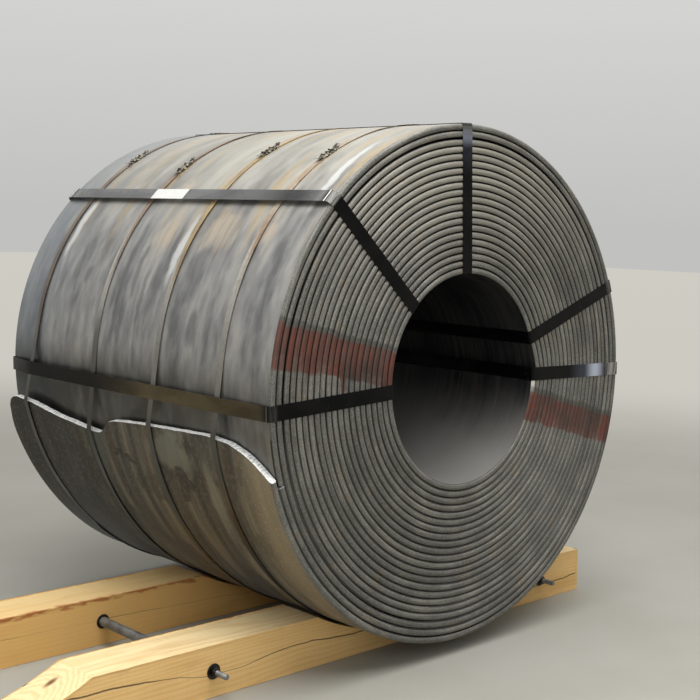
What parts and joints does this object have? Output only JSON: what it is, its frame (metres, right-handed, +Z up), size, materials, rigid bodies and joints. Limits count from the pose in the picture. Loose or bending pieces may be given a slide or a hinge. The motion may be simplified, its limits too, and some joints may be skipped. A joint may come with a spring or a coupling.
{
  "type": "steel coil",
  "caption": "Strapped hot-rolled steel coil with a sprung outer tail, lying in a two-place timber cradle.",
  "frame": {"origin": "on the floor, under the middle of the timbers' length and the middle of the coil's width", "axes": "+Z up, Y along the coil's axis with its front end at -Y, +X along the timbers towards the coil's place"},
  "size_m": [3.9, 1.6343, 1.9315],
  "materials": {
    "hot_rolled_steel": "dark mill scale with streaks and light rust",
    "rusted_strap_steel": "plain steel strapping with thin rust",
    "rusted_seal_steel": "crimped steel seal, dull",
    "black_strap_enamel": "glossy black enamelled strapping",
    "black_seal_enamel": "black enamelled seal",
    "pine_timber": "sawn pale yellow pine with cracks and knots",
    "galvanised_rod": "galvanised threaded rod",
    "galvanised_pipe": "dull galvanised pipe",
    "blackened_washer": "black oiled steel",
    "blackened_nut": "black oiled steel"
  },
  "bodies": {
    "root": {"coil": "hot_rolled_steel", "eye_seal_nine_oclock": "black_seal_enamel", "eye_seal_ten_oclock": "black_seal_enamel", "eye_seal_three_oclock": "black_seal_enamel", "eye_seal_twelve_oclock": "black_seal_enamel", "eye_seal_two_oclock": "black_seal_enamel", "eye_strap_nine_oclock": "black_strap_enamel", "eye_strap_ten_oclock": "black_strap_enamel", "eye_strap_three_oclock": "black_strap_enamel", "eye_strap_twelve_oclock": "black_strap_enamel", "eye_strap_two_oclock": "black_strap_enamel", "girth_seal_1": "rusted_seal_steel", "girth_seal_2": "rusted_seal_steel", "girth_seal_3": "rusted_seal_steel", "girth_seal_4": "rusted_seal_steel", "girth_strap_1": "rusted_strap_steel", "girth_strap_2": "rusted_strap_steel", "girth_strap_3": "rusted_strap_steel", "girth_strap_4": "rusted_strap_steel", "nuts_left": "blackened_nut", "nuts_middle": "blackened_nut", "nuts_right": "blackened_nut", "spacer_pipe_left": "galvanised_pipe", "spacer_pipe_middle": "galvanised_pipe", "spacer_pipe_right": "galvanised_pipe", "tie_rod_left": "galvanised_rod", "tie_rod_middle": "galvanised_rod", "tie_rod_right": "galvanised_rod", "timber_front": "pine_timber", "timber_rear": "pine_timber", "washers_left": "blackened_washer", "washers_middle": "blackened_washer", "washers_right": "blackened_washer"}
  },
  "joints": []
}
